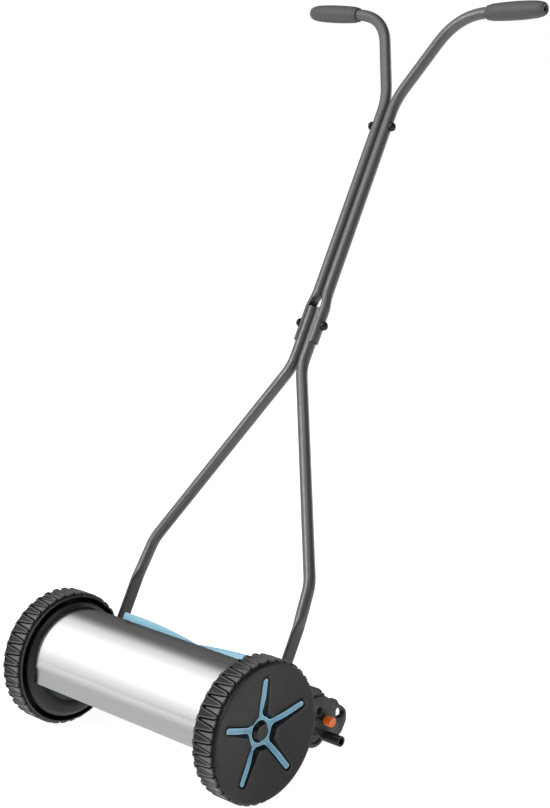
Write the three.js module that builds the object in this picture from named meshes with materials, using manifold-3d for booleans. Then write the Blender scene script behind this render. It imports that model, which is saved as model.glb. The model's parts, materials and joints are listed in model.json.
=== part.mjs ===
// Hand-pushed reel mower. Units are millimetres, +Z is up, +X runs along the wheel axle and the
// cover at the front faces -Y. The handle leans back towards +Y. Every paired piece is built on
// its right-hand side (+X) and mirrored to the left.
import * as THREE from 'three';
import { mergeVertices } from 'three/addons/utils/BufferGeometryUtils.js';
import Module from 'manifold-3d';

const wasm = await Module();
wasm.setup();

// ---- driving dimensions -------------------------------------------------------------------
const GAP = 0.3;                 // clearance between pieces that touch
const DEG = Math.PI / 180;

const WHEEL_R = 114;             // over the tread lugs, so also the axle height
const TREAD_BASE_R = 109.6;
const TREAD_INNER_R = 106.6;
const TREAD_LUGS = 38;
const WHEEL_IN = 204.9;          // inner and outer faces of the wheel along X
const WHEEL_OUT = 252.8;
const DISC_R = 108.9;
const DISC_THICK = 3;
const DISC_DISH = 11.6;          // how far the disc's middle sits behind its edge
const DISC_BACK = [[20, 232.3], [30, 234.2], [53, 240.6], [87, 246.3], [DISC_R, WHEEL_OUT - DISC_THICK]];
const AXLE_R = 9;
const HUB_IN = 208;
const HUB_FACE = 230;            // floor of the pocket that holds the axle head
const HUB_R = 20;
const CAP_R = 16.6;
const CAP_SHOULDER = 238.6;
const CAP_FACE_R = 12;
const CAP_FRONT = 244;

const STAR_ARMS = 5;
const STAR_FIRST = 89;           // direction of the first arm, degrees from +Y towards +Z
const STAR_ARM_HALF = 4.5;
const STAR_TIP_R = 87;
const STAR_RING_R = 23.5;
const STAR_HOLE_R = 17.6;
const STAR_DEPTH = 1.6;
const STAR_FACE = [[0, 238.2], [STAR_HOLE_R, 238.2], [30, 238.5], [53, 244.7], [92, 250.8]];  // (radius, X)

const REEL_Y = 50;               // reel axis behind the wheel axle, at the axle's height
const REEL_R = 80;
const REEL_HALF = 172.5;
const BLADES = 7;
const BLADE_THICK = 2.4;
const BLADE_DEPTH = 19;
const BLADE_PEAK_X = -150;       // where a blade stands at PEAK_ANGLE
const BLADE_PEAK_ANGLE = 61.4;
const BLADE_TWIST = 51.43 / 326; // degrees per millimetre along the reel
const SHAFT_R = 6;
const SPIDER_X = [-158, -53, 53, 158];

const RING_TEETH = 36;
const PINION_TEETH = 9;
const GEAR_MODULE = 2 * REEL_Y / (RING_TEETH - PINION_TEETH);
const GEAR_IN = 210;
const GEAR_OUT = 221;

const COVER_R = 92;
const COVER_SHEET = 1.2;
const COVER_HALF = 194.8;
const COVER_BACK_ANGLE = 72;     // top edge, degrees from +Y towards +Z
const COVER_CREASE = [-92, 128];
const COVER_LIP = [-91, 100];

const PLATE_IN = 195.3;          // round side plate behind each wheel
const PLATE_R = 98.2;
const HOUSING_IN = 175.2;        // bearing housing between the reel and the handle bar
const HOUSING_OUT = 184.8;

const ARM_IN = 185.2;            // height arm that carries the roller
const ARM_OUT = 190;
const LOOP_IN = 180;             // the finger loop reaches further in than the rest of the arm
const ARM_EYE = [187.5, 77];      // round hole above the release button
const ARM_EYE_R = 6.5;
const ARM_PIVOT = [110, 72];
const ARM_REACH = 100;           // radius of the housing's slotted sector about the arm pivot
const BUTTON = [200, 58.5];
const BUTTON_R = 8.3;
const BUTTON_FACE = 208.5;
const STEM_R = 3.4;
const ROLLER = [206.5, 27.5];
const ROLLER_R = 27.5;
const ROLLER_WALL = 4;
const ROLLER_HALF = 164;
const BOSS_R = 9;
const BOSS_END = 221;

const HANDLE_FOOT = [119.5, 200];  // a point (Y, Z) in the plane of the handle tubes
const HANDLE_TILT = 28.37;         // lean from upright, degrees
const TUBE_R = 10;
const TUBE_WALL = 1.4;
const TUBE_SIDES = 8;
const BEND_STEPS = 4;
const FLAT_THIN = 3.2;             // half sizes of a flattened tube end
const FLAT_WIDE = 13;
const PIVOT_S = -70;               // places along the handle from its foot
const JOINT_S = 532;
const CLAMP_S = 904;
const LAP_SHIFT = 4.6;             // a cupped tube end stands this far outside the tube it wraps
const CUP_R = TUBE_R + 0.35;
const BOLT_R = 2.8;
const BEND = [84, 1119.6];         // corner and end of the cross bar that the grip is on, as (X, s)
const TUBE_END = [252, 1127.6];
const GRIP_IN = 145.6;
const GRIP_OUT = 260;

// ---- materials ----------------------------------------------------------------------------
const FINISHES = {
  charcoal: { color: 0x2f3032, roughness: 0.6, metalness: 0 },
  black: { color: 0x1a1a1b, roughness: 0.7, metalness: 0 },
  tube: { color: 0x4c4d50, roughness: 0.45, metalness: 0.5 },
  silver: { color: 0xc9cacc, roughness: 0.22, metalness: 1 },
  steel: { color: 0x9a9c9f, roughness: 0.35, metalness: 1 },
  skyBlue: { color: 0x6aa6c9, roughness: 0.5, metalness: 0 },
  bladeBlue: { color: 0x8fc0da, roughness: 0.4, metalness: 0 },
  orange: { color: 0xe9772a, roughness: 0.4, metalness: 0 },
  grip: { color: 0x3a3b3e, roughness: 0.75, metalness: 0 },
};

const mower = new THREE.Group();

function addMesh(parent, name, geometry, finish) {
  const mesh = new THREE.Mesh(geometry, new THREE.MeshStandardMaterial(FINISHES[finish]));
  mesh.name = name;
  parent.add(mesh);
}

// ---- solids: closed meshes that can be joined, cut and mirrored -----------------------------
function toSolid(geometry) {
  const bare = new THREE.BufferGeometry();
  bare.setAttribute('position', geometry.attributes.position.clone());
  if (geometry.index) bare.setIndex(geometry.index.clone());
  const merged = mergeVertices(bare, 1e-4);
  const corners = merged.index.array;
  const triangles = [];
  for (let i = 0; i < corners.length; i += 3) {
    const [a, b, c] = [corners[i], corners[i + 1], corners[i + 2]];
    if (a !== b && b !== c && c !== a) triangles.push(a, b, c);
  }
  const build = (list) => new wasm.Manifold(new wasm.Mesh({
    numProp: 3,
    vertProperties: new Float32Array(merged.attributes.position.array),
    triVerts: new Uint32Array(list),
  }));
  const solid = build(triangles);
  return solid.volume() > 0 ? solid : build(triangles.reverse());
}

function toGeometry(solid) {
  const mesh = solid.getMesh();
  const geometry = new THREE.BufferGeometry();
  geometry.setAttribute('position', new THREE.BufferAttribute(new Float32Array(mesh.vertProperties), 3));
  geometry.setIndex(new THREE.BufferAttribute(new Uint32Array(mesh.triVerts), 1));
  geometry.computeVertexNormals();
  return geometry;
}

function joined(...solids) {
  return solids.reduce((whole, solid) => whole.add(solid));
}

function cut(solid, ...tools) {
  return tools.reduce((rest, tool) => rest.subtract(tool), solid);
}

function addPiece(parent, name, solid, finish) {
  addMesh(parent, name, toGeometry(solid), finish);
}

function addPair(parent, name, solid, finish) {
  addPiece(parent, `${name}_right`, solid, finish);
  addPiece(parent, `${name}_left`, solid.mirror([1, 0, 0]), finish);
}

// Turns a shape drawn in (Y, Z) into a prism from x0 to x1.
function prism(shape, x0, x1, curveSegments = 12) {
  const geometry = new THREE.ExtrudeGeometry(shape, { depth: x1 - x0, bevelEnabled: false, curveSegments });
  const axes = new THREE.Matrix4().makeBasis(
    new THREE.Vector3(0, 1, 0), new THREE.Vector3(0, 0, 1), new THREE.Vector3(1, 0, 0));
  geometry.applyMatrix4(axes);
  geometry.translate(x0, 0, 0);
  return toSolid(geometry);
}

function outline(points) {
  return new THREE.Shape(points.map(([y, z]) => new THREE.Vector2(y, z)));
}

// A rounded polygon: each corner is cut back by its radius and bridged by a curve.
function roundedOutline(points, radius) {
  const corners = points.map(([y, z]) => new THREE.Vector2(y, z));
  const shape = new THREE.Shape();
  corners.forEach((corner, i) => {
    const before = corners[(i + corners.length - 1) % corners.length];
    const after = corners[(i + 1) % corners.length];
    const into = before.clone().sub(corner);
    const out = after.clone().sub(corner);
    const start = corner.clone().addScaledVector(into.clone().normalize(), Math.min(radius, into.length() / 2));
    const end = corner.clone().addScaledVector(out.clone().normalize(), Math.min(radius, out.length() / 2));
    if (i === 0) shape.moveTo(start.x, start.y);
    else shape.lineTo(start.x, start.y);
    shape.quadraticCurveTo(corner.x, corner.y, end.x, end.y);
  });
  shape.closePath();
  return shape;
}

// A solid of revolution about the line through (y, z) along X. Profile points are (radius, x).
function turned(profile, y, z, segments = 48) {
  const geometry = new THREE.LatheGeometry(profile.map(([r, x]) => new THREE.Vector2(r, x)), segments);
  const axes = new THREE.Matrix4().makeBasis(
    new THREE.Vector3(0, 0, 1), new THREE.Vector3(1, 0, 0), new THREE.Vector3(0, 1, 0));
  geometry.applyMatrix4(axes);
  geometry.translate(0, y, z);
  return toSolid(geometry);
}

function rod(radius, x0, x1, y, z, segments = 12) {
  return turned([[0, x0], [radius, x0], [radius, x1], [0, x1]], y, z, segments);
}

function tubeAlongX(outer, inner, x0, x1, y, z, segments = 32) {
  return turned([[inner, x0], [outer, x0], [outer, x1], [inner, x1], [inner, x0]], y, z, segments);
}

// A hole that a round rod of this radius turns in: flats of the faceted bore stay clear of it.
function bore(radius, x0, x1, y, z, segments = 12) {
  return rod((radius + GAP) / Math.cos(Math.PI / segments), x0, x1, y, z, segments);
}

function polar(radius, degrees) {
  return [radius * Math.cos(degrees * DEG), radius * Math.sin(degrees * DEG)];
}

// ---- gear outlines ------------------------------------------------------------------------
// Trapezoid teeth of equal depth; `outward` gears carry them outside, ring gears inside.
function toothedOutline(teeth, outward, phase) {
  const pitch = GEAR_MODULE * teeth / 2;
  const side = outward ? 1 : -1;
  const tip = pitch + side * 0.8 * GEAR_MODULE;
  const root = pitch - side * 1.1 * GEAR_MODULE;
  const tipHalf = 0.34 * GEAR_MODULE / tip;
  const rootHalf = 1 * GEAR_MODULE / root;
  const points = [];
  for (let i = 0; i < teeth; i += 1) {
    const middle = (i + phase) * 2 * Math.PI / teeth;
    [[root, -rootHalf], [tip, -tipHalf], [tip, tipHalf], [root, rootHalf]].forEach(([r, turn]) => {
      points.push([r * Math.cos(middle + turn), r * Math.sin(middle + turn)]);
    });
  }
  return points;
}

function shifted(points, y, z) {
  return points.map(([a, b]) => [a + y, b + z]);
}

// ---- wheels -------------------------------------------------------------------------------
function discFront(radius) {
  return WHEEL_OUT - DISC_DISH * (1 - radius / DISC_R);
}

// X at a radius along a profile of (radius, X) points.
function alongProfile(profile, radius) {
  const last = Math.max(1, profile.findIndex(([r]) => r >= radius));
  const [[r0, x0], [r1, x1]] = [profile[last - 1], profile[last]];
  return x0 + (x1 - x0) * (radius - r0) / (r1 - r0);
}

function treadOutline() {
  const points = [];
  for (let i = 0; i < TREAD_LUGS; i += 1) {
    const middle = -90 + i * 360 / TREAD_LUGS;
    points.push(polar(WHEEL_R, middle), polar(TREAD_BASE_R, middle + 180 / TREAD_LUGS));
  }
  return points;
}

function tyre() {
  const outer = alongProfile(DISC_BACK, TREAD_INNER_R) - 2 * GAP;
  const ring = prism(outline(shifted(treadOutline(), 0, WHEEL_R)), WHEEL_IN, outer);
  return cut(ring, rod(TREAD_INNER_R, WHEEL_IN - 1, WHEEL_OUT, 0, WHEEL_R, 30));
}

function starPrism(grow) {
  const arms = [];
  for (let i = 0; i < STAR_ARMS; i += 1) {
    const turn = STAR_FIRST - i * 360 / STAR_ARMS;
    const half = STAR_ARM_HALF + grow;
    const arm = new THREE.Shape();
    arm.moveTo(0, -half);
    arm.lineTo(STAR_TIP_R - STAR_ARM_HALF, -half);
    arm.absarc(STAR_TIP_R - STAR_ARM_HALF, 0, half, -Math.PI / 2, Math.PI / 2, false);
    arm.lineTo(0, half);
    arms.push(prism(arm, HUB_FACE, WHEEL_OUT + 5, 3).rotate([turn, 0, 0]));
  }
  const ring = rod(STAR_RING_R + grow, HUB_FACE, WHEEL_OUT + 5, 0, 0, 15);
  return joined(ring, ...arms).translate([0, 0, WHEEL_R]);
}

// A dished layer that follows the star's face, from `back` behind it to `front` ahead of it.
function starLayer(inner, back, front) {
  const face = STAR_FACE.filter(([r]) => r > inner);
  const floor = [[inner, alongProfile(STAR_FACE, inner)], ...face].map(([r, x]) => [r, x - back]);
  const roof = floor.map(([r, x]) => [r, x + back + front]).reverse();
  return turned([...floor, ...roof, floor[0]], 0, WHEEL_R, 24);
}

function wheelDisc() {
  const pocket = CAP_R + 0.4;
  const body = turned([[AXLE_R + 0.4, HUB_IN], [AXLE_R + 0.4, HUB_FACE], [pocket, HUB_FACE],
    [pocket, discFront(pocket)], [DISC_R, discFront(DISC_R)], ...[...DISC_BACK].reverse(),
    [HUB_R, HUB_IN], [AXLE_R + 0.4, HUB_IN]], 0, WHEEL_R, 24);
  return cut(body, starPrism(GAP).intersect(starLayer(CAP_R - 2, STAR_DEPTH + GAP, 12)));
}

function starInlay() {
  return starPrism(0).intersect(starLayer(STAR_HOLE_R, STAR_DEPTH, 0));
}

function hubCap() {
  return turned([[0, CAP_FRONT - 2], [CAP_FACE_R - 1, CAP_FRONT - 2], [CAP_R - 1.8, CAP_SHOULDER - 0.6],
    [CAP_R - 1.8, HUB_FACE + 4], [CAP_R, HUB_FACE + 4], [CAP_R, CAP_SHOULDER], [CAP_FACE_R, CAP_FRONT],
    [0, CAP_FRONT]], 0, WHEEL_R, 20);
}

function wheelAxle() {
  return turned([[0, HOUSING_OUT + 1], [AXLE_R, HOUSING_OUT + 1], [AXLE_R, HUB_FACE + 0.4],
    [13, HUB_FACE + 0.4], [13, HUB_FACE + 3.2], [0, HUB_FACE + 3.2]], 0, WHEEL_R, 16);
}

function ringGear() {
  const inside = outline(shifted(toothedOutline(RING_TEETH, false, 0.5), 0, WHEEL_R));
  const rim = GEAR_MODULE * RING_TEETH / 2 + 7.5;
  const web = alongProfile(DISC_BACK, rim - 3) - GAP;
  const blank = turned([[0, GEAR_IN], [rim, GEAR_IN], [rim, web], [rim - 3, web], [rim - 3, GEAR_OUT],
    [0, GEAR_OUT]], 0, WHEEL_R, 20);
  return cut(blank, prism(inside, GEAR_IN - 1, GEAR_OUT + 1));
}

function addWheels() {
  addPair(mower, 'wheel_tyre', tyre(), 'black');
  addPair(mower, 'wheel_disc', wheelDisc(), 'charcoal');
  addPair(mower, 'wheel_star_inlay', starInlay(), 'skyBlue');
  addPair(mower, 'wheel_hub_cap', hubCap(), 'black');
  addPair(mower, 'wheel_axle', wheelAxle(), 'steel');
  addPair(mower, 'wheel_ring_gear', ringGear(), 'black');
}

// ---- cutting reel -------------------------------------------------------------------------
function bladeGeometry(index) {
  const steps = 14;
  const positions = [];
  const triangles = [];
  for (let i = 0; i <= steps; i += 1) {
    const x = -REEL_HALF + 2 * REEL_HALF * i / steps;
    const turn = BLADE_PEAK_ANGLE + BLADE_TWIST * (x - BLADE_PEAK_X) + index * 360 / BLADES;
    const along = polar(1, turn);
    const across = polar(1, turn + 90);
    const corners = [[REEL_R - BLADE_DEPTH, -1], [REEL_R, -1], [REEL_R, 1], [REEL_R - BLADE_DEPTH, 1]];
    corners.forEach(([r, side]) => {
      const reach = Math.sqrt(r * r - (BLADE_THICK / 2) ** 2);
      const lift = side * BLADE_THICK / 2;
      positions.push(x, REEL_Y + along[0] * reach + across[0] * lift,
        WHEEL_R + along[1] * reach + across[1] * lift);
    });
  }
  for (let i = 0; i < steps; i += 1) {
    for (let k = 0; k < 4; k += 1) {
      const [a, b] = [4 * i + k, 4 * i + (k + 1) % 4];
      triangles.push(a, b, b + 4, a, b + 4, a + 4);
    }
  }
  const last = 4 * steps;
  triangles.push(0, 2, 1, 0, 3, 2, last, last + 1, last + 2, last, last + 2, last + 3);
  const geometry = new THREE.BufferGeometry();
  geometry.setAttribute('position', new THREE.BufferAttribute(new Float32Array(positions), 3));
  geometry.setIndex(triangles);
  return geometry;
}

// A star of seven arms whose tips carry the blades; it is turned with the blades' twist.
function spider(x) {
  const tip = REEL_R - BLADE_DEPTH - 0.5;
  const points = [];
  for (let i = 0; i < BLADES; i += 1) {
    const middle = BLADE_PEAK_ANGLE + BLADE_TWIST * (x - BLADE_PEAK_X) + i * 360 / BLADES;
    points.push(polar(22, middle - 22), polar(tip, middle - 5), polar(tip, middle + 5), polar(22, middle + 22));
  }
  const plate = prism(outline(shifted(points, REEL_Y, WHEEL_R)), x - 1.5, x + 1.5);
  const hub = rod(13, x - 7, x + 7, REEL_Y, WHEEL_R);
  return cut(joined(plate, hub), bore(SHAFT_R, x - 8, x + 8, REEL_Y, WHEEL_R));
}

function pinion() {
  const teeth = outline(shifted(toothedOutline(PINION_TEETH, true, 0), REEL_Y, WHEEL_R));
  return cut(prism(teeth, GEAR_IN, GEAR_OUT), bore(SHAFT_R, GEAR_IN - 1, GEAR_OUT + 1, REEL_Y, WHEEL_R));
}

function addReel() {
  addPiece(mower, 'reel_shaft', rod(SHAFT_R, -GEAR_OUT - 2, GEAR_OUT + 2, REEL_Y, WHEEL_R), 'steel');
  for (let i = 0; i < BLADES; i += 1) {
    addPiece(mower, `reel_blade_${i + 1}`, toSolid(bladeGeometry(i)), 'bladeBlue');
  }
  SPIDER_X.forEach((x, i) => addPiece(mower, `reel_spider_${i + 1}`, spider(x), 'bladeBlue'));
  addPair(mower, 'reel_pinion', pinion(), 'steel');
  const bearing = cut(rod(13, HOUSING_IN + 0.5, HOUSING_OUT - 0.5, REEL_Y, WHEEL_R, 18),
    bore(SHAFT_R, HOUSING_IN, HOUSING_OUT, REEL_Y, WHEEL_R));
  addPair(mower, 'reel_bearing', bearing, 'steel');
}

// ---- frame: cover, side plates, housings, bed knife -----------------------------------------
function cover() {
  const shape = new THREE.Shape();
  const centre = [0, COVER_CREASE[1] - 13];
  const reach = (radius) => Math.PI - Math.asin((COVER_CREASE[1] - centre[1]) / radius);
  const back = COVER_BACK_ANGLE * DEG;
  const inner = COVER_R - COVER_SHEET;
  shape.absarc(centre[0], centre[1], COVER_R, back, reach(COVER_R), false);
  shape.lineTo(COVER_LIP[0], COVER_LIP[1]);
  shape.lineTo(COVER_LIP[0] + COVER_SHEET, COVER_LIP[1]);
  shape.absarc(centre[0], centre[1], inner, reach(inner), back, true);
  return prism(shape, -COVER_HALF, COVER_HALF, 24);
}

function sidePlate() {
  const inset = PLATE_IN + 3;
  const body = turned([[AXLE_R + GAP, PLATE_IN], [91, PLATE_IN], [PLATE_R, PLATE_IN + 7],
    [PLATE_R, PLATE_IN + 12.5], [PLATE_R - 3, PLATE_IN + 12.5], [PLATE_R - 3, PLATE_IN + 8],
    [89.5, inset], [AXLE_R + GAP, inset], [AXLE_R + GAP, PLATE_IN]], 0, WHEEL_R, 28);
  const [pivotY, pivotZ] = handlePoint(PIVOT_S);
  return cut(body, rod(SHAFT_R + 3, PLATE_IN - 1, inset + 1, REEL_Y, WHEEL_R),
    bore(5, PLATE_IN - 1, inset + 9, pivotY, pivotZ));
}

function housing() {
  const body = roundedOutline([[-26, 74], [20, 44], [58, 26], [116, 20], [140, 44], [178, 74],
    [201, 84], [202.5, 108], [168, 126], [128, 148], [96, 158], [40, 166], [-26, 148]], 10);
  const [pivotY, pivotZ] = handlePoint(PIVOT_S);
  const sector = new THREE.Shape();
  const [sectorY, sectorZ] = polar(ARM_REACH, -22);
  sector.moveTo(ARM_PIVOT[0], ARM_PIVOT[1]);
  sector.lineTo(ARM_PIVOT[0] + sectorY, ARM_PIVOT[1] + sectorZ);
  sector.absarc(ARM_PIVOT[0], ARM_PIVOT[1], ARM_REACH, -22 * DEG, 17 * DEG, false);
  const stemReach = Math.hypot(BUTTON[0] - ARM_PIVOT[0], BUTTON[1] - ARM_PIVOT[1]);
  const slot = new THREE.Shape();
  slot.absarc(ARM_PIVOT[0], ARM_PIVOT[1], stemReach + 4.2, -19 * DEG, 8 * DEG, false);
  slot.absarc(ARM_PIVOT[0], ARM_PIVOT[1], stemReach - 4.2, 8 * DEG, -19 * DEG, true);
  const lugs = [[-10, 84], [20, 150], [96, 96]].map(([y, z]) => rod(8, HOUSING_OUT - 1, PLATE_IN - GAP, y, z));
  const solid = joined(prism(body, HOUSING_IN, HOUSING_OUT, 2), prism(sector, HOUSING_IN, HOUSING_OUT, 6), ...lugs);
  return cut(solid, prism(slot, HOUSING_IN - 1, HOUSING_OUT + 1, 5),
    bore(13, HOUSING_IN - 1, HOUSING_OUT + 1, REEL_Y, WHEEL_R, 18),
    bore(5, HOUSING_IN - 1, HOUSING_OUT + 1, pivotY, pivotZ),
    bore(4, HOUSING_IN - 1, HOUSING_OUT + 1, ARM_PIVOT[0], ARM_PIVOT[1]),
    rod(ARM_EYE_R, HOUSING_IN - 1, HOUSING_OUT + 1, ...ARM_EYE));
}

function addFrame() {
  addPiece(mower, 'front_cover', cover(), 'silver');
  addPair(mower, 'side_plate', sidePlate(), 'charcoal');
  addPair(mower, 'side_housing', housing(), 'charcoal');
  addPiece(mower, 'front_tie_rod', rod(6, -PLATE_IN + GAP, PLATE_IN - GAP, -55, 150, 16), 'steel');
  const [pivotY, pivotZ] = handlePoint(PIVOT_S);
  const pivotBolt = turned([[0, HOUSING_IN - 4], [8.5, HOUSING_IN - 4], [8.5, HOUSING_IN - GAP],
    [5, HOUSING_IN - GAP], [5, PLATE_IN + 2.5], [0, PLATE_IN + 2.5]], pivotY, pivotZ, 14);
  addPair(mower, 'handle_pivot_bolt', pivotBolt, 'steel');
}

function addBedKnife() {
  const half = HOUSING_IN - 0.6;
  const knife = outline([[62, 34.4], [62.6, 31.6], [102, 26], [102, 28.8]]);
  const carrier = outline([[74, 25.4], [74, 22.4], [108, 17.5], [113, 19], [113, 52], [109.5, 52],
    [109.5, 24.2], [103, 21.3]]);
  const screwHole = (x, r) => new THREE.CylinderGeometry(r, r, 20, 12).rotateX(Math.PI / 2)
    .rotateX(0).translate(x, 0, 0);
  const upright = (x, radius, z0, z1) => toSolid(screwHole(x, radius).rotateX(0)
    .scale(1, 1, (z1 - z0) / 20).translate(0, 88, (z0 + z1) / 2));
  const screwX = [-110, 110];
  const holes = screwX.map((x) => upright(x, 3.6, 12, 40));
  addPiece(mower, 'bed_knife', cut(prism(knife, -half, half), ...holes), 'steel');
  addPiece(mower, 'knife_carrier', cut(prism(carrier, -half, half), ...holes), 'black');
  screwX.forEach((x, i) => {
    const screw = joined(upright(x, 3.2, 16, 29.4), upright(x, 5.5, 12.5, 19.4));
    addPiece(mower, `knife_screw_${i + 1}`, screw, 'steel');
  });
}

// ---- rear roller and cutting height arms ----------------------------------------------------
function heightArm() {
  const panel = roundedOutline([[98, 62], [104, 86], [175, 103], [203, 99], [215, 88.5], [219, 90.5],
    [232, 83.5], [235, 74.5], [243, 70.5], [254, 59], [254, 42], [241, 22], [212, 18], [202, 20], [177, 43],
    [122, 58]], 5);
  const rim = roundedOutline([[222, 45], [222, 75], [243, 70.5], [254, 59], [254, 42], [245, 28]], 5);
  const loop = roundedOutline([[228, 69], [237, 69], [244, 64], [247.5, 57], [247.5, 51], [228, 51]], 4);
  const boss = rod(BOSS_R, ARM_IN, BOSS_END, ROLLER[0], ROLLER[1], 16);
  const shaftHole = bore(5, ARM_IN - 1, BOSS_END - 12, ROLLER[0], ROLLER[1]);
  const socket = rod(6, BOSS_END - 12.5, BOSS_END + 1, ROLLER[0], ROLLER[1]);
  const body = joined(prism(panel, ARM_IN, ARM_OUT, 2), prism(rim, LOOP_IN, ARM_OUT, 2), boss);
  return cut(body, prism(loop, LOOP_IN - 1, ARM_OUT + 1, 2), rod(ARM_EYE_R, ARM_IN - 1, ARM_OUT + 1, ...ARM_EYE),
    shaftHole, socket, bore(4, ARM_IN - 1, ARM_OUT + 1, ARM_PIVOT[0], ARM_PIVOT[1]),
    bore(STEM_R, ARM_IN - 1, ARM_OUT + 1, BUTTON[0], BUTTON[1]));
}

function addRearGear() {
  addPair(mower, 'height_arm', heightArm(), 'charcoal');
  const armPivot = turned([[0, HOUSING_IN + 1], [4, HOUSING_IN + 1], [4, ARM_OUT + GAP],
    [7.5, ARM_OUT + GAP], [7.5, ARM_OUT + 3.5], [0, ARM_OUT + 3.5]], ARM_PIVOT[0], ARM_PIVOT[1], 14);
  addPair(mower, 'height_arm_pivot', armPivot, 'steel');
  const travel = 4;
  const button = turned([[0, HOUSING_OUT - 5], [STEM_R, HOUSING_OUT - 5], [STEM_R, ARM_OUT + travel + 0.6],
    [BUTTON_R, ARM_OUT + travel + 0.6], [BUTTON_R, BUTTON_FACE - 1.2], [BUTTON_R - 1.2, BUTTON_FACE],
    [0, BUTTON_FACE]], BUTTON[0], BUTTON[1], 14);
  addPair(mower, 'release_button', button, 'orange');
  const inner = ROLLER_R - ROLLER_WALL;
  addPiece(mower, 'rear_roller', tubeAlongX(ROLLER_R, inner, -ROLLER_HALF, ROLLER_HALF, ...ROLLER, 30), 'black');
  const cap = turned([[5.4, ROLLER_HALF - 10], [inner - GAP, ROLLER_HALF - 10], [inner - GAP, ROLLER_HALF + GAP],
    [ROLLER_R - 1, ROLLER_HALF + GAP], [ROLLER_R - 2, ROLLER_HALF + 2], [5.4, ROLLER_HALF + 2],
    [5.4, ROLLER_HALF - 10]], ...ROLLER, 20);
  addPair(mower, 'roller_end_cap', cap, 'black');
  addPiece(mower, 'roller_shaft', rod(5, -BOSS_END + 12.8, BOSS_END - 12.8, ...ROLLER), 'steel');
}

// ---- handle -------------------------------------------------------------------------------
// A point of the handle plane at distance s up the handle, as (Y, Z).
function handlePoint(s) {
  return [HANDLE_FOOT[0] + s * Math.sin(HANDLE_TILT * DEG), HANDLE_FOOT[1] + s * Math.cos(HANDLE_TILT * DEG)];
}

const handle = new THREE.Group();
handle.position.set(0, HANDLE_FOOT[0], HANDLE_FOOT[1]);
handle.rotation.x = -HANDLE_TILT * DEG;

// Centre line in the handle plane: straight runs joined by curves that start `reach` from a corner.
function bentLine(corners) {
  const stations = [];
  corners.forEach(({ x, s, reach }, i) => {
    const here = new THREE.Vector2(x, s);
    if (!reach) {
      stations.push(here);
      return;
    }
    const before = new THREE.Vector2(corners[i - 1].x, corners[i - 1].s);
    const after = new THREE.Vector2(corners[i + 1].x, corners[i + 1].s);
    const start = here.clone().addScaledVector(before.sub(here).normalize(), reach);
    const end = here.clone().addScaledVector(after.sub(here).normalize(), reach);
    const bend = new THREE.QuadraticBezierCurve(start, here, end);
    stations.push(...bend.getPoints(BEND_STEPS));
  });
  return stations;
}

// Sections of a pressed tube wall at a turn about its axis, as [across, out of the handle plane].
function flattened(press, wall, turn) {
  const thin = TUBE_R + (FLAT_THIN - TUBE_R) * press - wall;
  const wide = TUBE_R + (FLAT_WIDE - TUBE_R) * press - wall;
  return [thin * Math.cos(turn), wide * Math.sin(turn)];
}

function cupped(press, wall, turn) {
  const across = (TUBE_R - wall) * Math.cos(turn);
  const out = (TUBE_R - wall) * Math.sin(turn);
  const hollow = Math.min(Math.sqrt(CUP_R ** 2 - out ** 2) - LAP_SHIFT + wall, -across - 0.3);
  return [across < 0 ? across + (hollow - across) * press : across, out];
}

// A hollow tube through the stations; `flat` says how far each station is pressed, 0 to 1.
function bentTube(stations, flat, section) {
  const positions = [];
  const triangles = [];
  const rings = [0, TUBE_WALL];
  stations.forEach((here, i) => {
    const before = stations[Math.max(i - 1, 0)];
    const after = stations[Math.min(i + 1, stations.length - 1)];
    const along = after.clone().sub(before).normalize();
    const side = new THREE.Vector2(along.y, -along.x);
    const press = flat(here.y);
    rings.forEach((wall) => {
      for (let k = 0; k < TUBE_SIDES; k += 1) {
        const turn = (k + 0.5) * 2 * Math.PI / TUBE_SIDES;
        const [across, out] = section(press, wall, turn);
        positions.push(here.x + side.x * across, out, here.y + side.y * across);
      }
    });
  });
  const stride = 2 * TUBE_SIDES;
  const corner = (i, wall, k) => i * stride + wall * TUBE_SIDES + k % TUBE_SIDES;
  const quad = (a, b, c, d) => triangles.push(a, b, c, a, c, d);
  const last = stations.length - 1;
  for (let k = 0; k < TUBE_SIDES; k += 1) {
    for (let i = 0; i < last; i += 1) {
      quad(corner(i, 0, k), corner(i, 0, k + 1), corner(i + 1, 0, k + 1), corner(i + 1, 0, k));
      quad(corner(i, 1, k + 1), corner(i, 1, k), corner(i + 1, 1, k), corner(i + 1, 1, k + 1));
    }
    quad(corner(0, 0, k + 1), corner(0, 0, k), corner(0, 1, k), corner(0, 1, k + 1));
    quad(corner(last, 0, k), corner(last, 0, k + 1), corner(last, 1, k + 1), corner(last, 1, k));
  }
  const geometry = new THREE.BufferGeometry();
  geometry.setAttribute('position', new THREE.BufferAttribute(new Float32Array(positions), 3));
  geometry.setIndex(triangles);
  return toSolid(geometry);
}

function easedBetween(full, none) {
  return (s) => {
    const t = Math.min(Math.max((s - none) / (full - none), 0), 1);
    return t * t * (3 - 2 * t);
  };
}

const BAR_X = 190;
const MIDDLE_X = TUBE_R + 0.45;
const LAP_X = MIDDLE_X + LAP_SHIFT;

function lowerTube() {
  const line = bentLine([{ x: BAR_X, s: PIVOT_S - 13 }, { x: BAR_X, s: 20 }, { x: BAR_X, s: 34 },
    { x: BAR_X - 1.5, s: 50 }, { x: 183, s: 107, reach: 14 }, { x: MIDDLE_X, s: 454, reach: 18 },
    { x: MIDDLE_X, s: 562 }]);
  const tube = bentTube(line, easedBetween(24, 56), flattened);
  return cut(tube, bore(5, BAR_X - 10, BAR_X + 10, 0, PIVOT_S),
    bore(BOLT_R, 0, 40, 0, JOINT_S, 12));
}

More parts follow.
